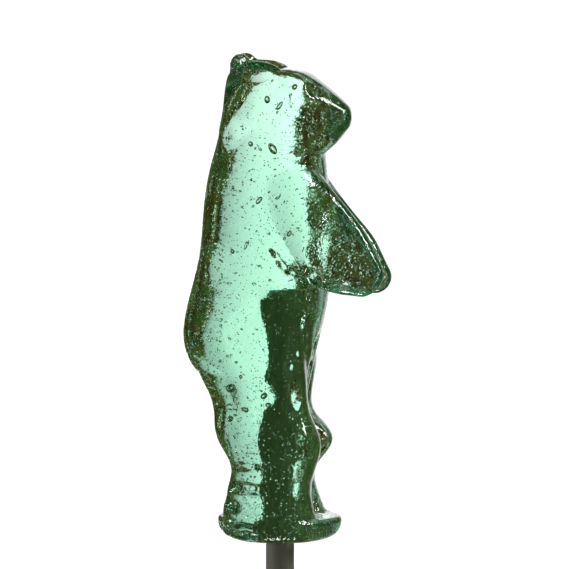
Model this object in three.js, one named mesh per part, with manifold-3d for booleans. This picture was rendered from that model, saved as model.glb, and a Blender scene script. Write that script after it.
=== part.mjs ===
// A boiled-sugar bear on a stick, lying on its side.
// Millimetres. The bear's own frame: x towards its face, y from the base it stands on up to its ears,
// z to its left side. The stick's axis is the y axis, and the base's underside is at y = 0.
// The bear lies on its right side, so z is up, and the last lines move the origin under its middle.
import * as THREE from "three";
import { LoftGeometry } from "three/addons/geometries/LoftGeometry.js";
import { mergeVertices } from "three/addons/utils/BufferGeometryUtils.js";
import Module from "manifold-3d";

const wasm = await Module();
wasm.setup();

// Driving dimensions.
const STICK_DIAMETER = 4;
const STICK_LENGTH = 114;
const STICK_DEPTH = 34.8; // how far it reaches into the candy
const STICK_CHAMFER = 0.35;
const BORE_GAP = 0.3; // all round the stick, and past its end
const BASE_RADIUS = 8.9;
const BASE_HEIGHT = 3.3;
const BASE_EDGE = 2.6; // rounding of the base's lower edge
const LYING_HEIGHT = 8.5; // of the stick's axis over the surface the bear lies on
const ARM_ANGLE = -43.5; // degrees, from straight ahead
const SHOULDER = [0.5, 49.5];

// Sections of each form, from one end to the other: [along, low edge, high edge, half depth, aside].
// Upright forms run up the y axis, with the bear's back as the low edge and its front as the high one.
const TORSO = [
  [16, -7.6, 3.2, 5.4, 0],
  [19.5, -8.0, 3.4, 7.0, 0],
  [23, -11.4, 4.2, 8.3, 0],
  [26, -13.2, 4.8, 8.9, 0],
  [29, -13.9, 5.6, 9.0, 0],
  [33, -13.3, 6.7, 8.5, 0],
  [37.5, -12.0, 7.2, 8.2, 0],
  [42, -11.0, 7.2, 8.2, 0],
  [48, -10.8, 7.0, 8.1, 0],
  [53, -9.9, 6.6, 7.4, 0],
  [57, -8.6, 6.1, 6.6, 0],
  [61, -8.0, 5.0, 6.1, 0],
];
const SKULL = [
  [55, -8.8, 5.0, 6.2, 0],
  [58, -8.4, 5.0, 6.5, 0],
  [61, -8.1, 5.0, 6.4, 0],
  [64, -7.9, 4.6, 5.8, 0],
  [66.2, -7.5, 4.0, 5.0, 0],
];
const SNOUT = [
  [0, 54.5, 67.2, 6.3, 0],
  [3.5, 54.0, 66.8, 6.0, 0],
  [5, 54.0, 65.7, 5.6, 0],
  [7, 55.2, 64.2, 4.9, 0],
  [8.6, 56.8, 62.9, 4.1, 0],
  [9.5, 58.2, 62.0, 3.2, 0],
];
const LEFT_ARM = [
  [-3, -5.0, 4.6, 3.9, 3.5],
  [0, -6.5, 6.2, 4.2, 3.9],
  [4, -6.8, 5.9, 4.3, 4.1],
  [7, -6.5, 5.2, 4.2, 4.1],
  [10.4, -6.2, 4.9, 4.0, 4.3],
  [13.7, -5.6, 4.2, 3.7, 4.7],
  [16.1, -4.4, 3.3, 3.2, 5.1],
  [17.8, -2.9, 2.6, 2.4, 5.4],
];
const RIGHT_ARM = [
  [-3, -5.0, 4.0, 3.9, 3.6],
  [0, -6.5, 5.8, 4.2, 4.1],
  [4, -6.8, 5.0, 4.3, 4.4],
  [7, -6.5, 4.7, 4.2, 4.5],
  [10.4, -6.2, 4.3, 4.0, 4.6],
  [13.7, -5.6, 4.0, 3.7, 4.8],
  [16.5, -4.2, 2.8, 3.2, 5.1],
  [18.4, -2.4, 2.1, 2.4, 5.4],
];
// What joins the two arms, in a groove between them.
const ARM_WEB = [
  [0, -5.0, 3.4, 3, 0],
  [8, -4.6, 2.4, 3, 0],
  [14, -3.6, 1.8, 3, 0],
  [17.5, -2.0, 1.0, 3, 0],
];
const LEFT_LEG = [
  [3.2, -7.6, 6.0, 3.9, 4.5],
  [5.5, -7.2, 5.3, 3.8, 4.5],
  [8, -6.6, 5.1, 3.7, 4.5],
  [10, -6.0, 5.7, 3.7, 4.5],
  [11.6, -6.3, 6.2, 3.8, 4.5],
  [13.2, -7.6, 6.6, 4.0, 4.6],
  [14.8, -8.5, 6.6, 4.1, 4.6],
  [16.5, -8.8, 5.9, 4.1, 4.6],
  [18.3, -8.8, 5.0, 4.0, 4.6],
  [21, -9.7, 4.6, 3.9, 4.6],
  [25, -11.6, 4.6, 3.9, 4.6],
  [29, -10.8, 4.0, 3.6, 4.4],
];
const RIGHT_LEG = [
  [3.2, -7.6, 6.1, 3.9, 4.5],
  [5.5, -7.2, 4.8, 3.8, 4.5],
  [8, -6.6, 3.9, 3.7, 4.5],
  [10, -6.0, 4.5, 3.7, 4.5],
  [11.6, -6.3, 5.9, 3.8, 4.5],
  [13.2, -7.6, 7.1, 4.0, 4.6],
  [14.8, -8.5, 6.9, 4.1, 4.6],
  [16.5, -8.8, 5.0, 4.1, 4.6],
  [18.3, -8.8, 3.5, 4.0, 4.6],
  [21, -9.7, 3.8, 3.9, 4.6],
  [25, -11.6, 4.6, 3.9, 4.6],
  [29, -10.8, 4.0, 3.6, 4.4],
];
// What joins the two legs, all round the stick, in a groove before and behind.
const LEG_WEB = [
  [3.2, -5.6, 4.2, 4.0, 0],
  [9, -5.0, 4.0, 4.0, 0],
  [14, -6.4, 4.6, 4.0, 0],
  [20, -7.0, 4.0, 5.0, 0],
];
const EAR = { centre: [-5.7, 67.3, 4.4], radii: [1.7, 1.8, 1.3], turn: -40 };
const BROW = { centre: [-3.4, 66.8, 4.2], radii: [3.5, 1.8, 1.5], turn: 0 }; // the ear's slope forwards
// How much of its depth the bear keeps, from its back to its front: [how far forward, share].
const KEPT_DEPTH = [
  [1.5, 1.0],
  [3.0, 0.975],
  [4.5, 0.91],
  [6.0, 0.82],
  [8.0, 0.69],
  [11.0, 0.54],
  [14.0, 0.43],
];
// How the head's back corners are pressed in: the left one's place, the depth and the reach.
const CORNER = { place: [-7, 65.5, 5], depth: 3, reach: 6 };

// A merged, closed solid of a geometry whose faces point outwards.
function solid(geometry) {
  geometry.deleteAttribute("normal");
  geometry.deleteAttribute("uv");
  const merged = mergeVertices(geometry, 1e-4);
  const corners = merged.index.array;
  const faces = [];
  for (let i = 0; i < corners.length; i += 3) {
    const [a, b, c] = corners.slice(i, i + 3);
    if (a !== b && b !== c && c !== a) faces.push(a, b, c);
  }
  return new wasm.Manifold(
    new wasm.Mesh({
      numProp: 3,
      vertProperties: merged.attributes.position.array,
      triVerts: new Uint32Array(faces),
    }),
  );
}

function union(solids) {
  return solids.reduce((whole, next) => whole.add(next));
}

// One oval section across +X. Squareness 2 makes it an ellipse, and more makes it boxier.
function oval(along, low, high, halfDepth, aside, squareness, around) {
  const middle = (low + high) / 2;
  const halfWidth = (high - low) / 2;
  const bulge = (value) => Math.sign(value) * Math.abs(value) ** (2 / squareness);
  return Array.from({ length: around }, (_, i) => {
    const turn = (i / around) * 2 * Math.PI;
    return new THREE.Vector3(
      along,
      middle + halfWidth * bulge(Math.cos(turn)),
      aside + halfDepth * bulge(Math.sin(turn)),
    );
  });
}

// A form along +X through its stations, smoothly, with a dome of the given length on each end.
function loft(stations, { tail = 2, nose = 2, squareness = 2.4, steps = 2, domes = 3, around = 28 }) {
  const curve = new THREE.CubicInterpolant(
    stations.map((_, i) => i),
    stations.flat(),
    stations[0].length,
  );
  const last = stations.length - 1;
  const sections = [];
  const addSection = ([along, low, high, halfDepth, aside], shift, share) => {
    const middle = (low + high) / 2;
    const halfWidth = ((high - low) / 2) * share;
    sections.push(
      oval(
        along + shift,
        middle - halfWidth,
        middle + halfWidth,
        halfDepth * share,
        aside,
        squareness,
        around,
      ),
    );
  };
  for (let i = domes; i > 0; i--) {
    const turn = ((i / domes) * Math.PI) / 2;
    addSection(stations[0], -tail * Math.sin(turn), i === domes ? 0 : Math.cos(turn));
  }
  for (let i = 0; i <= last * steps; i++) {
    addSection(curve.evaluate(i / steps), 0, 1);
  }
  for (let i = 1; i <= domes; i++) {
    const turn = ((i / domes) * Math.PI) / 2;
    addSection(stations[last], nose * Math.sin(turn), i === domes ? 0 : Math.cos(turn));
  }
  return new THREE.BufferGeometry().copy(new LoftGeometry(sections));
}

// The same along +Y, with each section's low edge towards -X.
function uprightLoft(stations, shape) {
  const lying = stations.map(([height, back, front, halfDepth, aside]) => [
    height,
    -front,
    -back,
    halfDepth,
    aside,
  ]);
  return loft(lying, shape).rotateZ(Math.PI / 2);
}

// The right side's stations, mirrored from the left side's.
function mirrored(stations) {
  return stations.map(([along, low, high, halfDepth, aside]) => [
    along,
    low,
    high,
    halfDepth,
    -aside,
  ]);
}

function armForm(stations) {
  return solid(
    loft(stations, { tail: 3, nose: 1.6, squareness: 2.3 })
      .rotateZ(THREE.MathUtils.degToRad(ARM_ANGLE))
      .translate(...SHOULDER, 0),
  );
}

function legForm(stations) {
  return solid(uprightLoft(stations, { tail: 1.6, nose: 4, squareness: 2.3, steps: 1 }));
}

// A rounded lump of the head, on the left (1) or the right (-1).
function lump({ centre, radii, turn }, side) {
  const [x, y, z] = centre;
  return solid(
    new THREE.SphereGeometry(1, 16, 10)
      .scale(...radii)
      .rotateY(THREE.MathUtils.degToRad(side * turn))
      .translate(x, y, side * z),
  );
}

function base() {
  const edge = new THREE.EllipseCurve(
    BASE_RADIUS - BASE_EDGE,
    BASE_EDGE,
    BASE_EDGE,
    BASE_EDGE,
    -Math.PI / 2,
    0,
  );
  const profile = [
    new THREE.Vector2(0, 0),
    ...edge.getPoints(5),
    new THREE.Vector2(BASE_RADIUS, BASE_HEIGHT - 0.3),
    new THREE.Vector2(BASE_RADIUS - 0.4, BASE_HEIGHT),
    new THREE.Vector2(0, BASE_HEIGHT),
  ];
  return solid(new THREE.LatheGeometry(profile, 48));
}

function bore() {
  const radius = STICK_DIAMETER / 2 + BORE_GAP;
  const length = STICK_DEPTH + BORE_GAP + 1;
  return solid(
    new THREE.CylinderGeometry(radius, radius, length, 24).translate(0, length / 2 - 1, 0),
  );
}

// Everything lower than the surface the bear lies on.
function ground() {
  const size = 200;
  return solid(
    new THREE.BoxGeometry(size, size, size).translate(0, 0, -LYING_HEIGHT - size / 2),
  );
}

// Moves a point of the candy to where the pressing and the narrowing leave it.
function settled(point) {
  const side = Math.sign(point[2]);
  const [x, y, z] = CORNER.place;
  const away = Math.hypot(point[0] - x, point[1] - y, side * point[2] - z);
  const share = THREE.MathUtils.smoothstep(CORNER.reach - away, 0, CORNER.reach);
  point[2] -= side * CORNER.depth * share;
  const ahead = KEPT_DEPTH.findIndex(([forward]) => forward > point[0]);
  if (ahead === 0) return;
  const [[start, atStart], [end, atEnd]] =
    ahead < 0 ? [KEPT_DEPTH.at(-1), [Infinity, 0]] : KEPT_DEPTH.slice(ahead - 1, ahead + 1);
  point[2] *= ahead < 0 ? atStart : THREE.MathUtils.mapLinear(point[0], start, end, atStart, atEnd);
}

function candySolid() {
  const forms = [
    solid(uprightLoft(TORSO, { tail: 4, nose: 3, squareness: 2.5, around: 36 })),
    solid(uprightLoft(SKULL, { tail: 3, nose: 0.8, squareness: 2.8, around: 36 })),
    solid(loft(SNOUT, { tail: 3, nose: 0.8, squareness: 2.8 })),
    armForm(LEFT_ARM),
    armForm(mirrored(RIGHT_ARM)),
    armForm(ARM_WEB),
    legForm(LEFT_LEG),
    legForm(mirrored(RIGHT_LEG)),
    legForm(LEG_WEB),
    lump(EAR, 1),
    lump(EAR, -1),
    lump(BROW, 1),
    lump(BROW, -1),
    base(),
  ];
  return union(forms).warp(settled).subtract(bore()).subtract(ground());
}

function stickGeometry() {
  const radius = STICK_DIAMETER / 2;
  const low = STICK_DEPTH - STICK_LENGTH;
  const profile = [
    new THREE.Vector2(0, low),
    new THREE.Vector2(radius - STICK_CHAMFER, low),
    new THREE.Vector2(radius, low + STICK_CHAMFER),
    new THREE.Vector2(radius, STICK_DEPTH - STICK_CHAMFER),
    new THREE.Vector2(radius - STICK_CHAMFER, STICK_DEPTH),
    new THREE.Vector2(0, STICK_DEPTH),
  ];
  return new THREE.LatheGeometry(profile, 24);
}

// The geometry of a joined and cut solid.
function geometryOf(body) {
  const mesh = body.getMesh();
  return new THREE.BufferGeometry()
    .setAttribute("position", new THREE.BufferAttribute(mesh.vertProperties, 3))
    .setIndex(new THREE.BufferAttribute(mesh.triVerts, 1));
}

const lollipop = new THREE.Group();

const candy = new THREE.Mesh(
  geometryOf(candySolid()),
  new THREE.MeshStandardMaterial({ color: 0x7fcf9f, roughness: 0.08, metalness: 0 }),
);
candy.name = "candy";

const stick = new THREE.Mesh(
  stickGeometry(),
  new THREE.MeshStandardMaterial({ color: 0x413e38, roughness: 0.6, metalness: 0 }),
);
stick.name = "stick";

lollipop.add(candy, stick);

// The origin goes to the middle of the underside of the whole.
const box = new THREE.Box3().setFromObject(lollipop);
const middle = box.getCenter(new THREE.Vector3());
lollipop.position.set(-middle.x, -middle.y, -box.min.z);

export default lollipop;
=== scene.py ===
"""A bear of clear green boiled sugar on a stick, lying on its right side on a pale floor.

The bear's own frame has x towards its face, y from the base it stands on up to its ears and z to
its left side, with the stick along the y axis. Shapes are given in that frame, in millimetres.
"""
import math
import random

import bmesh
import bpy
from mathutils import Matrix, Vector
from mathutils.bvhtree import BVHTree
from mathutils.kdtree import KDTree

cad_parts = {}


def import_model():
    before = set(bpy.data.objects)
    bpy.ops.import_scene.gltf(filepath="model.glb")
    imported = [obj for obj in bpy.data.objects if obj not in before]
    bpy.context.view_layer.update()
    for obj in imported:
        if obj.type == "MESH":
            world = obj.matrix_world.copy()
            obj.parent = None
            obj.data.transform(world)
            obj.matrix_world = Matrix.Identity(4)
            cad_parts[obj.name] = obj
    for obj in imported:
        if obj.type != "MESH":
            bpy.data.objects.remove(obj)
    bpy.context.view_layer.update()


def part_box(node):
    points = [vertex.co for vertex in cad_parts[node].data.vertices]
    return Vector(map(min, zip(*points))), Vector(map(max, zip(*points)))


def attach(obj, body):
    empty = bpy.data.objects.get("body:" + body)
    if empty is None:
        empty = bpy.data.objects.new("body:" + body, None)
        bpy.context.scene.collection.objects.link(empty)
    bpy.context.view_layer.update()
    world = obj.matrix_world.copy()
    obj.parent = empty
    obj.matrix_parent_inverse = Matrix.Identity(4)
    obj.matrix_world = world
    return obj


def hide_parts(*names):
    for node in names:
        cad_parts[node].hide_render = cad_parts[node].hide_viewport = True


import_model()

MM = 0.001
HAIR = 0.01  # in millimetres, less than any size of the lollipop

stick_low, stick_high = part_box("stick")
candy_low, candy_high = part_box("candy")

# The bear's origin: where the stick's axis passes the underside of the base.
ORIGIN = Vector(
    (
        (stick_low.x + stick_high.x) / 2,
        candy_low.y,
        (stick_low.z + stick_high.z) / 2,
    )
)
stick_radius = (stick_high.x - stick_low.x) / 2 / MM
stick_length = (stick_high.y - stick_low.y) / MM

# ---------------------------------------------------------------- sizes of the bear

# Sections of each form, from one end to the other: along, low edge, high edge, half depth, aside.
# Upright forms run up the y axis, with the back as the low edge and the front as the high one.
TORSO = [
    (16, -7.6, 3.2, 5.4, 0),
    (19.5, -8.0, 3.4, 7.0, 0),
    (23, -11.4, 4.2, 8.3, 0),
    (26, -13.2, 4.8, 8.9, 0),
    (29, -13.9, 5.6, 9.0, 0),
    (33, -13.3, 6.7, 8.5, 0),
    (37.5, -12.0, 7.2, 8.2, 0),
    (42, -11.0, 7.2, 8.2, 0),
    (48, -10.8, 7.0, 8.1, 0),
    (53, -9.9, 6.6, 7.4, 0),
    (57, -8.6, 6.1, 6.6, 0),
    (61, -8.0, 5.0, 6.1, 0),
]
SKULL = [
    (55, -8.8, 5.0, 6.2, 0),
    (58, -8.4, 5.0, 6.5, 0),
    (61, -8.1, 5.0, 6.4, 0),
    (64, -7.9, 4.6, 5.8, 0),
    (66.2, -7.5, 4.0, 5.0, 0),
]
SNOUT = [
    (0, 54.5, 67.2, 6.3, 0),
    (3.5, 54.0, 66.8, 6.0, 0),
    (5, 54.0, 65.7, 5.6, 0),
    (7, 55.2, 64.2, 4.9, 0),
    (8.6, 56.8, 62.9, 4.1, 0),
    (9.5, 58.2, 62.0, 3.2, 0),
]
SHOULDER = Vector((0.5, 49.5, 0))
ARM_ANGLE = -43.5  # degrees, from straight ahead
LEFT_ARM = [
    (-3, -5.0, 4.6, 3.9, 3.5),
    (0, -6.5, 6.2, 4.2, 3.9),
    (4, -6.8, 5.9, 4.3, 4.1),
    (7, -6.5, 5.2, 4.2, 4.1),
    (10.4, -6.2, 4.9, 4.0, 4.3),
    (13.7, -5.6, 4.2, 3.7, 4.7),
    (16.1, -4.4, 3.3, 3.2, 5.1),
    (17.8, -2.9, 2.6, 2.4, 5.4),
]
RIGHT_ARM = [
    (-3, -5.0, 4.0, 3.9, -3.6),
    (0, -6.5, 5.8, 4.2, -4.1),
    (4, -6.8, 5.0, 4.3, -4.4),
    (7, -6.5, 4.7, 4.2, -4.5),
    (10.4, -6.2, 4.3, 4.0, -4.6),
    (13.7, -5.6, 4.0, 3.7, -4.8),
    (16.5, -4.2, 2.8, 3.2, -5.1),
    (18.4, -2.4, 2.1, 2.4, -5.4),
]
ARM_WEB = [
    (0, -5.0, 3.4, 3, 0),
    (8, -4.6, 2.4, 3, 0),
    (14, -3.6, 1.8, 3, 0),
    (17.5, -2.0, 1.0, 3, 0),
]
LEFT_LEG = [
    (3.2, -7.6, 6.0, 3.9, 4.5),
    (5.5, -7.2, 5.3, 3.8, 4.5),
    (8, -6.6, 5.1, 3.7, 4.5),
    (10, -6.0, 5.7, 3.7, 4.5),
    (11.6, -6.3, 6.2, 3.8, 4.5),
    (13.2, -7.6, 6.6, 4.0, 4.6),
    (14.8, -8.5, 6.6, 4.1, 4.6),
    (16.5, -8.8, 5.9, 4.1, 4.6),
    (18.3, -8.8, 5.0, 4.0, 4.6),
    (21, -9.7, 4.6, 3.9, 4.6),
    (25, -11.6, 4.6, 3.9, 4.6),
    (29, -10.8, 4.0, 3.6, 4.4),
]
RIGHT_LEG = [
    (3.2, -7.6, 6.1, 3.9, -4.5),
    (5.5, -7.2, 4.8, 3.8, -4.5),
    (8, -6.6, 3.9, 3.7, -4.5),
    (10, -6.0, 4.5, 3.7, -4.5),
    (11.6, -6.3, 5.9, 3.8, -4.5),
    (13.2, -7.6, 7.1, 4.0, -4.6),
    (14.8, -8.5, 6.9, 4.1, -4.6),
    (16.5, -8.8, 5.0, 4.1, -4.6),
    (18.3, -8.8, 3.5, 4.0, -4.6),
    (21, -9.7, 3.8, 3.9, -4.6),
    (25, -11.6, 4.6, 3.9, -4.6),
    (29, -10.8, 4.0, 3.6, -4.4),
]
LEG_WEB = [
    (3.2, -5.6, 4.2, 4.0, 0),
    (9, -5.0, 4.0, 4.0, 0),
    (14, -6.4, 4.6, 4.0, 0),
    (20, -7.0, 4.0, 5.0, 0),
]
EAR_PLACE = (-5.3, 67.1, 3.4)
EAR_SIZE = (1.7, 2.0, 2.0)
BROW_PLACE = (-3.0, 65.9, 3.2)
BROW_SIZE = (4.2, 2.2, 2.4)

BASE_RADIUS = 8.9
BASE_HEIGHT = 3.3
BASE_EDGE = 2.6  # rounding of the base's lower edge
BASE_RIM = 0.4  # rounding of its upper edge

STICK_DEPTH = 34.8  # how far the stick reaches into the candy
STICK_CHAMFER = 0.35

# How much of its depth the bear keeps towards its front: x and the share of the depth there.
KEPT_DEPTH = [
    (2.0, 1.0),
    (3.0, 1.01),
    (4.4, 1.01),
    (5.5, 0.94),
    (6.6, 0.83),
    (8.2, 0.69),
    (11.0, 0.54),
    (14.0, 0.43),
]


def both(place, push, reach):
    """A press on either flank: on the left one as given, on the right one mirrored."""
    x, y, z = place
    return [(place, (0, 0, push), reach), ((x, y, -z), (0, 0, -push), reach)]


# Where the surface is pushed in or out: the place, the push and how far round it reaches.
PRESSES = [
    *both((-8.4, 66.8, 4.6), -2.2, 6.4),  # the back corners of the head, below the ears
    *both((-8.2, 63.4, 4.8), -1.6, 5.4),
    *both((3.6, 68.0, 4.6), 1.1, 3.8),  # the top of the head
    *both((8.6, 49.0, 7.5), -0.6, 4.4),  # in front of the shoulders
    *both((10.6, 46.4, 6.5), -0.8, 5.2),  # the outer sides of the arms
    ((6.4, 35.0, -7.6), (0, 0, -0.8), 4.0),  # the belly, under the right arm
    ((6.4, 35.0, 7.6), (0, 0, 1.0), 4.0),  # and under the left arm
    *both((6.4, 28.8, 7.5), 1.2, 3.2),  # the fronts of the legs
    *both((6.2, 25.6, 7.5), 1.1, 3.0),
    *both((6.4, 22.6, 7.5), 0.35, 3.0),
    *both((6.3, 19.8, 7.5), 0.35, 3.0),
    *both((6.4, 15.4, 7.5), 0.9, 3.0),
    *both((6.6, 10.4, 7.5), 0.8, 3.0),
    *both((6.4, 7.6, 7.5), 0.8, 3.0),
    *both((-8.6, 18.6, 6.0), -1.2, 4.6),  # the backs of the legs
    *both((-8.4, 14.6, 6.0), -0.9, 4.2),
    *both((-10.0, 21.3, 6.0), -1.6, 5.5),  # the backs of the thighs
    *both((-9.6, 39.5, 6.5), 0.5, 4.0),  # the waist
    ((4.6, 21.5, 0), (-0.9, 0, 0), 2.2),  # the cleft between the thighs
    ((5.0, 24.5, 0), (-0.9, 0, 0), 2.2),
    ((5.6, 27.5, 0), (-0.8, 0, 0), 2.2),
    *both((-7.8, 57.8, 4.6), 1.0, 4.0),  # the nape
    ((1.8, 34.4, 8.6), (0, 0, 0.7), 4.0),  # over the stick's end
    ((1.6, 15.2, 8.6), (0, 0, 0.95), 4.0),  # the left knee
    ((2.6, 21.3, 8.6), (0, 0, -1.2), 3.6),  # the dip over it
]
# Smaller presses, made once the surface is smooth.
FINE_PRESSES = [
    ((-1.2, 34.0, 8.6), (0, 0, -0.4), 2.4),  # beside the stick's end
    ((2.6, 21.3, 8.6), (0, 0, -0.25), 2.4),
    *both((-5.4, 67.8, 5.2), -0.9, 1.3),  # the hollow of each ear
    ((5.4, 38.4, 7.0), (0, 0, -0.7), 1.1),  # the belly's wrinkles
    ((6.4, 36.6, 6.6), (0, 0, 0.7), 1.0),
    ((5.2, 35.4, 7.0), (0, 0, -0.8), 1.1),
    ((6.2, 34.0, 6.2), (0, 0, 0.8), 1.1),
    ((4.9, 32.6, 7.0), (0, 0, -0.7), 1.0),
    ((5.6, 31.0, 6.2), (0, 0, 0.8), 1.2),
    ((4.4, 29.2, 7.0), (0, 0, -0.8), 1.2),
    ((4.8, 27.2, 6.4), (0, 0, 0.7), 1.1),
    ((4.2, 25.4, 6.8), (0, 0, -0.7), 1.1),
    ((-6.6, 2.1, 6.5), (0, 0, -0.6), 1.0),  # the dents in the base
    ((-5.1, 2.7, 7.5), (0, 0, -0.6), 0.9),
    ((-3.7, 1.3, 8.2), (0, 0, -0.6), 1.0),
    ((-2.6, 2.8, 8.5), (0, 0, -0.5), 0.9),
    ((-7.5, 1.0, 5.5), (0, 0, -0.5), 0.9),
    ((-1.7, 1.0, 8.6), (0, 0, -0.5), 0.9),
    ((6.5, 64.7, 4.8), (0, 0, -0.6), 1.4),  # the left eye
    ((8.5, 59.9, 3.4), (0, 0, -0.5), 1.1),  # the corner of the mouth
    ((7.7, 58.5, 3.6), (0, 0, -0.5), 1.1),
]
# Grooves in the left flank: the points they pass, how deep and how far to each side.
GROOVES = [
    ([(-6.4, 11.3), (-1.8, 11.1)], 0.5, 1.0),  # round the left shin
    ([(-7.2, 3.6), (-1.0, 3.0)], 0.5, 0.9),  # where it meets the base
    ([(-8.0, 1.6), (-4.5, 1.2), (-1.5, 1.5)], 0.9, 1.3),  # round the base's edge
    ([(-5.6, 8.1), (-1.0, 7.9)], 1.8, 1.2),
    ([(-6.9, 6.3), (-4.4, 5.2)], 1.3, 1.2),
    ([(-0.4, 55.1), (4.4, 54.9)], 0.2, 0.8),  # the fold under the head
    # the fold under the arm
    ([(0.6, 41.2), (1.9, 39.4), (4.4, 37.9), (7.2, 37.1), (10.4, 36.9)], 0.6, 0.8),
]
# Bubbles near the left flank: x, y, radius, stretch and the turn of the stretch in degrees.
BUBBLES = [
    (-0.9, 62.7, 0.42, 1.3, 100),
    (0.9, 61.9, 0.3, 2.4, 55),
    (0.6, 61.0, 0.16, 1.5, 60),
    (2.9, 64.5, 0.34, 1.3, 60),
    (2.4, 63.4, 0.2, 1.5, 50),
    (-3.1, 56.5, 0.34, 1.2, 120),
    (0.0, 55.9, 0.5, 1.7, 125),
    (-1.7, 55.8, 0.2, 1.4, 150),
    (-5.8, 52.9, 0.26, 1.2, 90),
    (-5.4, 50.4, 0.2, 1.5, 100),
    (-1.7, 48.7, 0.34, 1.9, 50),
    (-2.5, 47.9, 0.17, 1.5, 45),
    (1.0, 49.1, 0.2, 1.8, 20),
    (2.7, 44.2, 0.3, 1.6, 60),
    (2.0, 43.5, 0.22, 1.3, 60),
    (-3.5, 42.4, 0.2, 3.0, 80),
    (-5.4, 41.5, 0.3, 1.2, 120),
    (0.1, 41.5, 0.4, 1.5, 130),
    (0.3, 40.7, 0.3, 1.2, 30),
    (2.3, 39.5, 0.26, 1.5, 75),
    (-0.1, 37.5, 0.2, 1.2, 0),
    (-5.6, 22.2, 0.62, 1.1, 0),
    (-1.0, 21.2, 0.4, 1.3, 50),
    (-0.4, 19.8, 0.36, 1.4, 150),
    (-3.6, 19.2, 0.34, 1.7, 160),
    (-5.6, 17.8, 0.4, 1.2, 60),
    (-4.2, 23.9, 0.26, 1.2, 90),
    (-4.8, 26.0, 0.2, 1.2, 0),
    (-7.1, 26.1, 0.2, 1.2, 40),
    (-7.0, 31.0, 0.2, 1.4, 90),
]
BUBBLE_COVER = 0.6  # candy between a bubble and the left flank, at least
BUBBLE_START = 8  # they sink from this z, a step at a time, until they are that well covered
BUBBLE_STEP = 0.2
SPECK_COUNT = 1400
SPECK_RADIUS = 0.07
SPECK_RANGE = ((-14, 15), (0.5, 69), (-8, 8.5))  # in x, y and z
SPECK_SEED = 5
CRYSTAL_COUNT = 900
CRYSTAL_RADIUS = (0.05, 0.11)
CRYSTAL_SUNK = (0.03, 0.3)  # how deep they lie under the surface
CRYSTAL_RANGE = ((-14, 15), (0.3, 69))  # in x and y
CRYSTAL_SLOPE = 0.15  # none where the surface faces less upwards than this
CRYSTAL_SEED = 8
ABOVE_BEAR = 20  # a height clear of its left flank

# The lattice that narrows the bear: two opposite corners, and the step between its points in x.
CAGE_LOW = Vector((-16, -15, -12))
CAGE_HIGH = Vector((16, 85, 12))
CAGE_STEP = 1

MELT = 0.2508  # the grid on which the forms melt together
SOFTENING = 14  # rounds of smoothing after that


# ---------------------------------------------------------------- modelling

DOWN = Vector((0, 0, -1))
# From a form's own directions (across, through its depth, along it) to the bear's.
ALONG_X = Matrix(((0, 0, 1, 0), (1, 0, 0, 0), (0, 1, 0, 0), (0, 0, 0, 1)))
# From a cylinder's own directions, with its axis up, to the bear's, with the axis along y.
ALONG_Y = Matrix.Rotation(-math.pi / 2, 4, "X")
DOME_SWEEP = math.radians(86)  # a dome stops short of its pole, which then closes flat
DOME_STEPS = 3


def pick(obj):
    """Makes obj the only selected and the active object."""
    bpy.ops.object.select_all(action="DESELECT")
    obj.select_set(True)
    bpy.context.view_layer.objects.active = obj


def edit(obj):
    pick(obj)
    bpy.ops.object.mode_set(mode="EDIT")
    bpy.ops.mesh.select_mode(type="VERT")
    bpy.ops.mesh.select_all(action="SELECT")


def leave_edit():
    bpy.ops.object.mode_set(mode="OBJECT")


def settle(obj, placing):
    """Moves obj from the bear's frame, or by another placing in it, into place for good."""
    pick(obj)
    obj.matrix_world = Matrix.Translation(ORIGIN) @ Matrix.Scale(MM, 4) @ placing
    bpy.ops.object.transform_apply(location=True, rotation=True, scale=True)


def apply_modifier(obj, kind, **settings):
    pick(obj)
    modifier = obj.modifiers.new(kind.title(), kind)
    for name, value in settings.items():
        setattr(modifier, name, value)
    bpy.ops.object.modifier_apply(modifier=modifier.name)


def joined(name, parts):
    bpy.ops.object.select_all(action="DESELECT")
    for part in parts:
        part.select_set(True)
    bpy.context.view_layer.objects.active = parts[0]
    bpy.ops.object.join()
    parts[0].name = name
    parts[0].data.name = name
    return parts[0]


def domed(sections, tail, nose):
    """The sections, with those of a dome before the first and after the last, tail and nose long."""

    def shrunk(section, shift, share):
        along, low, high, half_depth, aside = section
        middle = (low + high) / 2
        half_width = (high - low) / 2 * share
        return (along + shift, middle - half_width, middle + half_width, half_depth * share, aside)

    turns = [DOME_SWEEP * (i + 1) / DOME_STEPS for i in range(DOME_STEPS)]
    before = [shrunk(sections[0], -tail * math.sin(t), math.cos(t)) for t in reversed(turns)]
    after = [shrunk(sections[-1], nose * math.sin(t), math.cos(t)) for t in turns]
    return before + list(sections) + after


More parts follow.
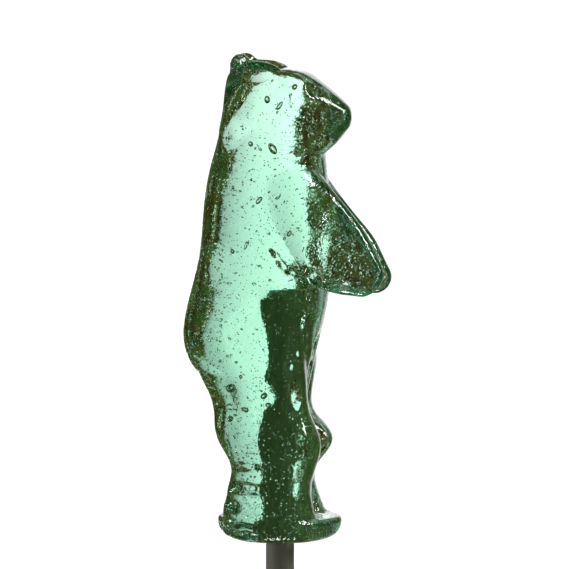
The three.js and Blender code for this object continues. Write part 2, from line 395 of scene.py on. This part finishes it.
def form(name, sections, roundness, angle=0, place=(0, 0, 0)):
    """A closed form through its sections, lying along the bear's x turned by angle about its z.

    Each section is a square whose corners are rounded off by roundness, 1 for an oval.
    """
    bpy.ops.object.select_all(action="DESELECT")
    bpy.ops.mesh.primitive_plane_add(size=2)
    body = bpy.context.object
    body.name = name
    edit(body)
    bpy.ops.mesh.bevel(offset=roundness, segments=7, affect="VERTICES")
    spot = Vector((0, 0, 0))
    width, depth = 1, 1
    for number, (along, low, high, half_depth, aside) in enumerate(sections):
        if number:
            bpy.ops.mesh.extrude_region()
        half_width = (high - low) / 2
        bpy.ops.transform.resize(
            value=(half_width / width, half_depth / depth, 1), center_override=spot
        )
        next_spot = Vector(((low + high) / 2, aside, along))
        bpy.ops.transform.translate(value=next_spot - spot)
        spot, width, depth = next_spot, half_width, half_depth
    bpy.ops.mesh.select_all(action="SELECT")
    bpy.ops.mesh.normals_make_consistent(inside=False)
    leave_edit()
    apply_modifier(body, "SUBSURF", levels=2, render_levels=2)
    turn = Matrix.Rotation(math.radians(angle), 4, "Z")
    settle(body, Matrix.Translation(Vector(place)) @ turn @ ALONG_X)
    return body


def upright(name, sections, roundness, tail, nose):
    """A form that runs up the y axis, whose sections give the back and the front edge."""
    facing = [(along, -front, -back, depth, aside) for along, back, front, depth, aside in sections]
    return form(name, domed(facing, tail, nose), roundness, angle=90)


def arm(name, sections):
    return form(name, domed(sections, tail=3, nose=1.6), 0.89, ARM_ANGLE, SHOULDER)


def leg(name, sections):
    return upright(name, sections, 0.85, tail=1.6, nose=4)


def lump(name, place, size, side):
    """A rounded lump of the head, on the left (1) or the right (-1)."""
    x, y, z = place
    bpy.ops.object.select_all(action="DESELECT")
    bpy.ops.mesh.primitive_ico_sphere_add(subdivisions=4, radius=1)
    body = bpy.context.object
    body.name = name
    settle(body, Matrix.Translation(Vector((x, y, side * z))) @ Matrix.Diagonal((*size, 1)))
    return body


def bevel_edges(body, chosen, width, segments):
    """Bevels the edges that chosen accepts by the heights of their two ends."""
    edit(body)
    bpy.ops.mesh.select_all(action="DESELECT")
    leave_edit()
    for edge in body.data.edges:
        edge.select = chosen(*[body.data.vertices[v].co.z for v in edge.vertices])
    bpy.ops.object.mode_set(mode="EDIT")
    bpy.ops.mesh.select_mode(type="EDGE")
    bpy.ops.mesh.bevel(offset=width, segments=segments, affect="EDGES")
    leave_edit()


def base():
    """The round base: a thick disc whose lower edge is well rounded."""
    bpy.ops.object.select_all(action="DESELECT")
    bpy.ops.mesh.primitive_cylinder_add(vertices=96, radius=BASE_RADIUS, depth=BASE_HEIGHT)
    body = bpy.context.object
    body.name = "base"
    bevel_edges(body, lambda *ends: max(ends) < 0, BASE_EDGE, 8)
    bevel_edges(body, lambda *ends: min(ends) > BASE_HEIGHT / 2 - HAIR, BASE_RIM, 3)
    settle(body, Matrix.Translation(Vector((0, BASE_HEIGHT / 2, 0))) @ ALONG_Y)
    return body


def press(body, pushes):
    """Pushes the surface, at a place and softly round it as far as it reaches, in millimetres."""
    edit(body)
    mesh = bmesh.from_edit_mesh(body.data)
    finder = KDTree(len(mesh.verts))
    for vertex in mesh.verts:
        finder.insert(vertex.co, vertex.index)
    finder.balance()
    for place, push, reach in pushes:
        bpy.ops.mesh.select_all(action="DESELECT")
        mesh.verts.ensure_lookup_table()
        nearest = finder.find(ORIGIN + MM * Vector(place))[1]
        mesh.verts[nearest].select_set(True)
        bpy.ops.transform.translate(
            value=MM * Vector(push),
            use_proportional_edit=True,
            proportional_edit_falloff="SMOOTH",
            proportional_size=reach * MM,
        )
    leave_edit()


def groove_pushes(body):
    """The pushes that make the grooves, each a row of them."""
    tree = BVHTree.FromObject(body, bpy.context.evaluated_depsgraph_get())
    pushes = []
    for points, depth, reach in GROOVES:
        for start, end in zip(points, points[1:]):
            start, end = Vector(start), Vector(end)
            steps = math.ceil((end - start).length / (reach / 2))
            for step in range(steps):
                above = Vector((*start.lerp(end, step / steps), ABOVE_BEAR))
                hit = tree.ray_cast(ORIGIN + MM * above, DOWN)[0]
                if hit:
                    pushes.append(((hit - ORIGIN) / MM, (0, 0, -depth / 2), reach))
    return pushes


def kept_depth(x):
    """The share of its depth that the bear keeps at x."""
    before = KEPT_DEPTH[0]
    for after in KEPT_DEPTH:
        if x <= after[0]:
            share = 0 if after is before else (x - before[0]) / (after[0] - before[0])
            return before[1] + share * (after[1] - before[1])
        before = after
    return before[1]


def narrow_front(body):
    """Narrows the bear towards its front, with a lattice round it."""
    size = CAGE_HIGH - CAGE_LOW
    middle = (CAGE_LOW + CAGE_HIGH) / 2
    bpy.ops.object.select_all(action="DESELECT")
    bpy.ops.object.add(type="LATTICE")
    cage = bpy.context.object
    cage.data.points_u = round(size.x / CAGE_STEP) + 1
    cage.data.points_v = 2
    cage.data.points_w = 2
    cage.matrix_world = (
        Matrix.Translation(ORIGIN)
        @ Matrix.Scale(MM, 4)
        @ Matrix.Translation(middle)
        @ Matrix.Diagonal((*size, 1))
    )
    for point in cage.data.points:
        x = middle.x + point.co.x * size.x
        point.co_deform.z = point.co.z * kept_depth(x)
    bpy.context.view_layer.update()
    apply_modifier(body, "LATTICE", object=cage)
    bpy.data.objects.remove(cage)


def flatten_underside(body):
    """Presses what reaches below the floor flat onto it."""
    edit(body)
    bpy.ops.mesh.select_all(action="DESELECT")
    leave_edit()
    for vertex in body.data.vertices:
        vertex.select = vertex.co.z < 0
    bpy.ops.object.mode_set(mode="EDIT")
    bpy.ops.transform.resize(value=(1, 1, 0), center_override=(0, 0, 0))
    leave_edit()


def candy_body():
    """The bear on its base: its forms melted together, then pressed and smoothed into shape."""
    parts = [
        upright("torso", TORSO, 0.83, tail=4, nose=3),
        upright("skull", SKULL, 0.75, tail=3, nose=0.8),
        form("snout", domed(SNOUT, tail=3, nose=0.8), 0.75),
        arm("left arm", LEFT_ARM),
        arm("right arm", RIGHT_ARM),
        arm("arm web", ARM_WEB),
        leg("left leg", LEFT_LEG),
        leg("right leg", RIGHT_LEG),
        leg("leg web", LEG_WEB),
        base(),
    ]
    for side in (1, -1):
        parts.append(lump("ear", EAR_PLACE, EAR_SIZE, side))
        parts.append(lump("brow", BROW_PLACE, BROW_SIZE, side))
    body = joined("bear", parts)
    apply_modifier(body, "REMESH", mode="VOXEL", voxel_size=MELT * MM)
    narrow_front(body)
    press(body, PRESSES)
    apply_modifier(body, "SMOOTH", factor=0.5, iterations=SOFTENING)
    press(body, FINE_PRESSES + groove_pushes(body))
    flatten_underside(body)
    pick(body)
    bpy.ops.object.shade_smooth()
    return body


def within(body):
    """A test of whether a place, in the bear's millimetres, is in the candy by at least a margin."""
    tree = BVHTree.FromObject(body, bpy.context.evaluated_depsgraph_get())

    def test(place, margin):
        point = ORIGIN + MM * place
        near, normal, _, distance = tree.find_nearest(point)
        clear_of_stick = math.hypot(place.x, place.z) > stick_radius + margin
        return (point - near).dot(normal) < 0 and distance > margin * MM and (
            clear_of_stick or place.y > STICK_DEPTH + margin
        )

    return test


def round_bubble(name, subdivisions):
    """A ball one millimetre in radius, for its copies to be squeezed from."""
    bpy.ops.object.select_all(action="DESELECT")
    bpy.ops.mesh.primitive_ico_sphere_add(subdivisions=subdivisions, radius=1)
    body = bpy.context.object
    body.name = name
    bpy.ops.object.shade_smooth()
    return body


def scattered(name, first, placings):
    """Copies of first, one at each placing, as one piece."""
    copies = []
    for placing in placings:
        other = first.copy()
        other.data = first.data.copy()
        bpy.context.scene.collection.objects.link(other)
        other.matrix_world = Matrix.Translation(ORIGIN) @ Matrix.Scale(MM, 4) @ placing
        copies.append(other)
    bpy.data.objects.remove(first)
    whole = joined(name, copies)
    bpy.ops.object.transform_apply(location=True, rotation=True, scale=True)
    return whole


def bubble_placing(place, radius, stretch=1, turn=0):
    """Puts a bubble at a place, stretched along a line at turn degrees from straight ahead."""
    size = Matrix.Diagonal((radius * stretch, radius, radius, 1))
    return Matrix.Translation(place) @ Matrix.Rotation(math.radians(turn), 4, "Z") @ size


def specks(inside):
    """Fine bubbles all through the candy."""
    draw = random.Random(SPECK_SEED)
    placings = []
    while len(placings) < SPECK_COUNT:
        place = Vector([draw.uniform(*ends) for ends in SPECK_RANGE])
        radius = SPECK_RADIUS * draw.uniform(0.5, 1) / draw.uniform(0.6, 1) ** 2
        stretch = draw.uniform(1, 1.6)
        turn = draw.uniform(0, 180)
        if inside(place, 2 * radius):
            placings.append(bubble_placing(place, radius, stretch, turn))
    return scattered("specks", round_bubble("speck", 1), placings)


def crystals(body):
    """Grains of sugar that didn't melt, just under the left side."""
    draw = random.Random(CRYSTAL_SEED)
    tree = BVHTree.FromObject(body, bpy.context.evaluated_depsgraph_get())
    placings = []
    while len(placings) < CRYSTAL_COUNT:
        above = Vector([draw.uniform(*ends) for ends in CRYSTAL_RANGE] + [ABOVE_BEAR])
        sunk = draw.uniform(*CRYSTAL_SUNK)
        radius = draw.uniform(*CRYSTAL_RADIUS)
        hit, normal, _, _ = tree.ray_cast(ORIGIN + MM * above, DOWN)
        if hit and normal.z > CRYSTAL_SLOPE:
            place = (hit - ORIGIN) / MM - (sunk + radius) * normal
            placings.append(bubble_placing(place, radius))
    return scattered("crystals", round_bubble("crystal", 1), placings)


def large_bubbles(inside):
    """The larger bubbles, each as near the left flank as its cover lets it be."""
    placings = []
    for x, y, radius, stretch, turn in BUBBLES:
        depth = BUBBLE_START
        while not inside(Vector((x, y, depth)), radius + BUBBLE_COVER):
            depth -= BUBBLE_STEP
        placings.append(bubble_placing(Vector((x, y, depth)), radius, stretch, turn))
    return scattered("bubbles", round_bubble("bubble", 3), placings)


def stick_body():
    """The stick: a round rod whose two rims are bevelled."""
    bpy.ops.object.select_all(action="DESELECT")
    bpy.ops.mesh.primitive_cylinder_add(vertices=64, radius=stick_radius, depth=stick_length)
    body = bpy.context.object
    body.name = "lolly_stick"
    bevel_edges(body, lambda one, other: abs(one - other) < HAIR, STICK_CHAMFER, 3)
    settle(body, Matrix.Translation(Vector((0, STICK_DEPTH - stick_length / 2, 0))) @ ALONG_Y)
    pick(body)
    bpy.ops.object.shade_smooth_by_angle(angle=math.radians(35))
    return body


# ---------------------------------------------------------------- materials

SUGAR_IOR = 1.5
SUGAR_GREEN = (0, 0.571, 0.3)
SUGAR_DENSITY = 70
STICK_GREY = (0.208, 0.196, 0.188)
# painted light: the stick's colour where it is sunk in the candy, lighter and greener than its own
# grey
STICK_PAINTED_LIGHT_IN_CANDY = (0.2, 0.33, 0.1)


class Nodes:
    """A tree of nodes and short ways to add and join them."""

    def __init__(self, tree):
        self.tree = tree

    def add(self, kind, **settings):
        node = self.tree.nodes.new(kind)
        for name, value in settings.items():
            setattr(node, name, value)
        return node

    def join(self, source, socket):
        """Links source to the socket or, where it is a plain number, sets it there."""
        if isinstance(source, (int, float)):
            socket.default_value = source
        else:
            self.tree.links.new(source, socket)

    def reckon(self, operation, first, second=0):
        node = self.add("ShaderNodeMath", operation=operation)
        self.join(first, node.inputs[0])
        self.join(second, node.inputs[1])
        return node.outputs[0]

    def rise(self, value, start, end, before=0, after=1, **settings):
        """Goes from before, where value is at start or short of it, to after, at end or past it."""
        node = self.add("ShaderNodeMapRange", **settings)
        node.inputs["From Min"].default_value = start
        node.inputs["From Max"].default_value = end
        node.inputs["To Min"].default_value = before
        node.inputs["To Max"].default_value = after
        self.join(value, node.inputs["Value"])
        return node.outputs["Result"]

    def blend(self, share, first, second):
        """One colour, or the other by a share of it."""
        node = self.add("ShaderNodeMix", data_type="RGBA")
        self.join(share, node.inputs["Factor"])
        for name, colour in (("A", first), ("B", second)):
            if isinstance(colour, tuple):
                node.inputs[name].default_value = (*colour, 1)
            else:
                self.join(colour, node.inputs[name])
        return node.outputs["Result"]


class Finish(Nodes):
    """A new material, whose patterns keep to the bear's place."""

    def __init__(self, name):
        self.material = bpy.data.materials.new(name)
        self.material.use_nodes = True
        super().__init__(self.material.node_tree)
        self.shader = self.tree.nodes["Principled BSDF"]
        self.output = self.tree.nodes["Material Output"]
        self.place = self.add("ShaderNodeTexCoord").outputs["Object"]

    def along(self, axis, start, end, before=0, after=1):
        """A rise along the bear's x, y or z, in its millimetres."""
        parted = self.add("ShaderNodeSeparateXYZ")
        self.join(self.place, parted.inputs[0])
        zero = ORIGIN["XYZ".index(axis)]
        return self.rise(parted.outputs[axis], zero + start * MM, zero + end * MM, before, after)

    def most(self, first, *others):
        for other in others:
            first = self.reckon("MAXIMUM", first, other)
        return first

    def noise(self, size, detail=2):
        """Noise whose features are about size millimetres across."""
        node = self.add("ShaderNodeTexNoise")
        node.inputs["Scale"].default_value = 1 / (size * MM)
        node.inputs["Detail"].default_value = detail
        self.join(self.place, node.inputs["Vector"])
        return node.outputs["Fac"]

    def pits(self, spacing, radius):
        """Round pits, in millimetres: 0 in the middle of each and 1 outside it."""
        node = self.add("ShaderNodeTexVoronoi")
        node.inputs["Scale"].default_value = 1 / (spacing * MM)
        self.join(self.place, node.inputs["Vector"])
        edge = radius / spacing
        return self.rise(node.outputs["Distance"], 0, edge, interpolation_type="SMOOTHSTEP")

    def scratches(self, size, width):
        """Thin broken curls: 0 along each and 1 beside it."""
        middle = self.reckon("SUBTRACT", self.noise(size, detail=0), 0.5)
        line = self.rise(self.reckon("ABSOLUTE", middle), 0, width, interpolation_type="SMOOTHSTEP")
        gaps = self.rise(self.noise(size * 0.8, detail=0), 0.6, 0.55)
        return self.most(line, gaps)

    def bump(self, height, distance, over=None, share=None):
        """A bump of up to distance millimetres, or a share of it, over another bump if given."""
        node = self.add("ShaderNodeBump")
        node.inputs["Strength"].default_value = 1
        if share:
            self.join(share, node.inputs["Strength"])
        node.inputs["Distance"].default_value = distance * MM
        self.join(height, node.inputs["Height"])
        if over:
            self.join(over, node.inputs["Normal"])
        return node.outputs["Normal"]


def boiled_sugar():
    """Clear green boiled sugar, with the fine unevenness that its mould left on it.

    The mould marked it most low down, and pitted it there, in front and behind.
    """
    finish = Finish("boiled sugar")
    shader = finish.shader
    shader.inputs["Base Color"].default_value = (1, 1, 1, 1)
    shader.inputs["Roughness"].default_value = 0.02
    shader.inputs["IOR"].default_value = SUGAR_IOR
    shader.inputs["Transmission Weight"].default_value = 1
    flanks = finish.along("Z", -3, 3, before=0.5, after=0.3)
    low = finish.along("Y", BASE_HEIGHT + 18, BASE_HEIGHT + 1)
    front = finish.along("X", 3.5, 6, after=0.6)
    behind = finish.along("X", -5.5, -8.5)
    marked = finish.most(flanks, low, front)
    pitted = finish.rise(finish.most(front, behind, low), 0, 0.6, before=0.14)
    swell = finish.bump(finish.noise(2.5), 0.03)
    grit = finish.bump(finish.noise(0.4, detail=1), 0.06, swell, marked)
    pits = finish.bump(finish.pits(0.65, 0.17), 0.2, grit, pitted)
    scratches = finish.bump(finish.scratches(1.5, 0.014), 0.03, pits, marked)
    finish.join(scratches, shader.inputs["Normal"])
    depth = finish.add("ShaderNodeVolumeAbsorption")
    depth.inputs["Color"].default_value = (*SUGAR_GREEN, 1)
    depth.inputs["Density"].default_value = SUGAR_DENSITY
    finish.join(depth.outputs["Volume"], finish.output.inputs["Volume"])
    return finish.material


def trapped_air():
    """Air in the candy: going into it, light bends as on the way out of the candy."""
    finish = Finish("trapped air")
    surface = finish.add("ShaderNodeBsdfGlass")
    surface.inputs["Roughness"].default_value = 0
    surface.inputs["IOR"].default_value = 1 / SUGAR_IOR
    finish.tree.nodes.remove(finish.shader)
    finish.join(surface.outputs["BSDF"], finish.output.inputs["Surface"])
    return finish.material


def white_sugar():
    finish = Finish("white sugar")
    finish.shader.inputs["Base Color"].default_value = (0.9, 0.9, 0.85, 1)
    finish.shader.inputs["Roughness"].default_value = 0.4
    return finish.material


def stick_plastic():
    """Dull grey plastic, with painted light where it is sunk in the candy: a lighter, greener colour
    there stands in for the light that reaches it through the green candy.
    """
    finish = Finish("stick plastic")
    shader = finish.shader
    shader.inputs["Roughness"].default_value = 0.55
    sunk = finish.along("Y", 0, 1)
    # the part sunk in the candy gets the painted lighter, greener colour, standing in for light
    # through the candy
    finish.join(finish.blend(sunk, STICK_GREY, STICK_PAINTED_LIGHT_IN_CANDY), shader.inputs["Base Color"])
    finish.join(finish.bump(finish.noise(0.4), 0.01), shader.inputs["Normal"])
    return finish.material


# ---------------------------------------------------------------- the lollipop


def coat(piece, material):
    """Gives the piece this material and no other."""
    piece.data.materials.clear()
    piece.data.materials.append(material)


bear = candy_body()
coat(bear, boiled_sugar())
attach(bear, "root")
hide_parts("candy")

in_candy = within(bear)
air = trapped_air()
for piece in (large_bubbles(in_candy), specks(in_candy)):
    coat(piece, air)
    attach(piece, "root")

grains = crystals(bear)
coat(grains, white_sugar())
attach(grains, "root")

stick = stick_body()
coat(stick, stick_plastic())
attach(stick, "root")
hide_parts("stick")

# ---------------------------------------------------------------- camera

VIEW_TURN = math.radians(10)
VIEW_RISE = math.radians(5.5)
VIEW_DISTANCE = 600
VIEW_WIDTH = 81.29
VIEW_MIDDLE = (0.643, 36.07)  # along the picture's right and up, from the bear's origin
SENSOR_WIDTH = 36

sight = Vector(
    (
        math.sin(VIEW_TURN) * math.cos(VIEW_RISE),
        math.sin(VIEW_RISE),
        math.cos(VIEW_TURN) * math.cos(VIEW_RISE),
    )
)
right = Vector((math.cos(VIEW_TURN), 0, -math.sin(VIEW_TURN)))
up = sight.cross(right)

camera_data = bpy.data.cameras.new("camera")
camera_data.sensor_width = SENSOR_WIDTH
camera_data.lens = SENSOR_WIDTH * VIEW_DISTANCE / VIEW_WIDTH
camera_data.clip_start = 0.01
camera_data.clip_end = 10
camera = bpy.data.objects.new("camera", camera_data)
bpy.context.scene.collection.objects.link(camera)
middle = VIEW_MIDDLE[0] * right + VIEW_MIDDLE[1] * up
turned = Matrix((right, up, sight)).transposed().to_4x4()
camera.matrix_world = Matrix.Translation(ORIGIN + MM * (middle + VIEW_DISTANCE * sight)) @ turned
bpy.context.scene.camera = camera

# ---------------------------------------------------------------- floor and light

# In metres, as the places and sizes of the lights are.
FLOOR_WIDTH = 20
FLOOR_GAP = 0.00002


def floor():
    """A plain white floor, just under the lollipop, that the candy neither mirrors nor shows."""
    bpy.ops.object.select_all(action="DESELECT")
    bpy.ops.mesh.primitive_plane_add(size=FLOOR_WIDTH, location=(0, 0, -FLOOR_GAP))
    body = bpy.context.object
    body.name = "floor"
    finish = Finish("floor")
    finish.shader.inputs["Base Color"].default_value = (0.5, 0.5, 0.5, 1)
    finish.shader.inputs["Roughness"].default_value = 0.9
    finish.shader.inputs["Specular IOR Level"].default_value = 0
    finish.shader.inputs["Emission Color"].default_value = (1, 1, 1, 1)
    finish.shader.inputs["Emission Strength"].default_value = 1
    body.data.materials.append(finish.material)
    body.visible_transmission = False
    body.visible_glossy = False
    body.visible_diffuse = False


# The bright window behind the bear: how far it reaches each way from the line of sight, in degrees.
WINDOW_BACK = 10.5  # seen through surfaces that slope to the bear's front
WINDOW_LEAN = 0.45  # how far that edge leans, for each degree up
WINDOW_FRONT = 26  # seen through surfaces that slope to its back
WINDOW_DOWN = 23
WINDOW_UP = 23
WINDOW_CORNER = 22  # to its cut corner, in front and below
WINDOW_EDGE = 1.5  # how far its edges fade
WINDOW_COLOUR = (0.97, 1, 0.99)
WINDOW_LIGHT_BACK = 2.05
WINDOW_LIGHT_FRONT = 0.76
# The room round it, and in it a pale table on one side and a dim ceiling, in degrees too.
ROOM_DARK = (0.01, 0.01, 0.002)
ROOM_GREEN = (0.09, 0.16, 0.035)
ROOM_BROWN = (0.15, 0.06, 0.01)
ROOM_SPARK = (3, 3.2, 2.6)
TABLE_COLOUR = (0.8, 0.82, 0.8)
TABLE_START = 50
TABLE_END = 84
TABLE_EDGE = 8
TABLE_SIDE = 25  # how far it is off to the side
TABLE_SIDE_EDGE = 15
CEILING_COLOUR = (0.2, 0.19, 0.17)
CEILING_START = 109
CEILING_FULL = 125
CEILING_SHARE = 0.5


class Sky(Nodes):
    """The nodes of the world, which shows its light by direction."""

    def __init__(self):
        made = bpy.data.worlds.new("studio")
        bpy.context.scene.world = made
        made.use_nodes = True
        super().__init__(made.node_tree)
        self.tree.nodes.clear()
        self.direction = self.add("ShaderNodeTexCoord").outputs["Generated"]

    def along(self, axis):
        node = self.add("ShaderNodeVectorMath", operation="DOT_PRODUCT")
        node.inputs[1].default_value = axis
        self.join(self.direction, node.inputs[0])
        return node.outputs["Value"]

    def times(self, first, second):
        return self.reckon("MULTIPLY", first, second)

    def sweep(self, angle, start, end):
        """A rise over an angle, with its start and end in degrees."""
        return self.rise(angle, math.radians(start), math.radians(end))

    def through(self):
        """1 for light that comes through the candy and 0 for light that it reflects."""
        return self.add("ShaderNodeLightPath").outputs["Is Transmission Ray"]

    def mottle(self, scale, seed=0):
        """Patches of more and less, the smaller the larger the scale."""
        node = self.add("ShaderNodeTexNoise", noise_dimensions="4D")
        node.inputs["W"].default_value = seed
        node.inputs["Scale"].default_value = scale
        self.join(self.direction, node.inputs["Vector"])
        return node.outputs["Fac"]

    def spots(self, scale):
        """How far each direction is from the nearest of a scatter of spots."""
        node = self.add("ShaderNodeTexVoronoi")
        node.inputs["Scale"].default_value = scale
        self.join(self.direction, node.inputs["Vector"])
        return node.outputs["Distance"]

    def show(self, colour):
        back = self.add("ShaderNodeBackground")
        out = self.add("ShaderNodeOutputWorld")
        self.join(colour, back.inputs["Color"])
        self.join(back.outputs[0], out.inputs["Surface"])


def window_frame(sky, across, rising):
    """1 inside the window and 0 outside it."""
    # its edge at the bear's back leans, and its lower corner in front is cut off
    leaning = sky.reckon("SUBTRACT", across, sky.times(rising, WINDOW_LEAN))
    slanting = sky.times(sky.reckon("SUBTRACT", across, rising), math.sqrt(0.5))
    edges = (
        (leaning, -WINDOW_BACK - WINDOW_EDGE, -WINDOW_BACK),
        (slanting, WINDOW_CORNER + WINDOW_EDGE, WINDOW_CORNER),
        (across, WINDOW_FRONT + WINDOW_EDGE, WINDOW_FRONT),
        (rising, -WINDOW_DOWN - WINDOW_EDGE, -WINDOW_DOWN),
        (rising, WINDOW_UP + WINDOW_EDGE, WINDOW_UP),
    )
    inside = 1
    for angle, start, end in edges:
        inside = sky.times(inside, sky.sweep(angle, start, end))
    return inside


def window_light(sky, across):
    """The window's light, brighter towards the bear's back."""
    at_back, at_front = (
        tuple(light * part for part in WINDOW_COLOUR)
        for light in (WINDOW_LIGHT_BACK, WINDOW_LIGHT_FRONT)
    )
    return sky.blend(sky.sweep(across, -WINDOW_BACK, WINDOW_FRONT), at_back, at_front)


def room(sky, across, off):
    """The mottled dark room, with a pale table on one side, a dim ceiling and sparks of light."""
    green = sky.rise(sky.mottle(7), 0.4, 0.6)
    brown = sky.rise(sky.mottle(11, seed=3), 0.5, 0.62)
    light = sky.blend(brown, sky.blend(green, ROOM_DARK, ROOM_GREEN), ROOM_BROWN)
    beyond = sky.sweep(off, TABLE_START, TABLE_START + TABLE_EDGE)
    short_of = sky.sweep(off, TABLE_END + TABLE_EDGE, TABLE_END)
    aside = sky.sweep(across, -TABLE_SIDE, -TABLE_SIDE - TABLE_SIDE_EDGE)
    table = sky.times(sky.times(sky.times(beyond, short_of), aside), sky.through())
    light = sky.blend(table, light, TABLE_COLOUR)
    over = sky.sweep(off, CEILING_START, CEILING_FULL)
    light = sky.blend(sky.times(over, CEILING_SHARE), light, CEILING_COLOUR)
    return sky.blend(sky.rise(sky.spots(12), 0.2, 0.12), light, ROOM_SPARK)


def world():
    """A bright window behind the bear and the room round it, by their angles from the sight."""
    sky = Sky()
    ahead = sky.along(-sight)
    across = sky.reckon("ARCTAN2", sky.along(right), ahead)
    rising = sky.reckon("ARCTAN2", sky.along(up), ahead)
    off = sky.reckon("ARCCOSINE", ahead)
    inside = window_frame(sky, across, rising)
    sky.show(sky.blend(inside, room(sky, across, off), window_light(sky, across)))


def soft_light(name, place, aim, size, power):
    """A rectangle of light at a place, facing its aim."""
    data = bpy.data.lights.new(name, "AREA")
    data.shape = "RECTANGLE"
    data.size, data.size_y = size
    data.energy = power
    lamp = bpy.data.objects.new(name, data)
    bpy.context.scene.collection.objects.link(lamp)
    lamp.location = place
    lamp.rotation_euler = (Vector(aim) - Vector(place)).to_track_quat("-Z", "Y").to_euler()
    return lamp


floor()
world()
on_candy = (0, 0.03, 0.01)
on_stick = (0, -0.03, 0.01)
soft_light("front light", (0.48, 0.38, 0.03), on_candy, size=(0.3, 0.08), power=2.2)
soft_light("low light", (0, -0.5, 0.03), on_candy, size=(0.3, 0.06), power=1.2)
stick_light = soft_light("stick light", (-0.5, -0.2, 0.1), on_stick, size=(0.2, 0.2), power=1.5)
stick_light.visible_glossy = False
stick_light.visible_transmission = False

scene = bpy.context.scene
scene.view_settings.view_transform = "Standard"
scene.cycles.use_denoising = True
scene.cycles.max_bounces = 24
scene.cycles.transmission_bounces = 24
scene.cycles.glossy_bounces = 12
scene.cycles.transparent_max_bounces = 16
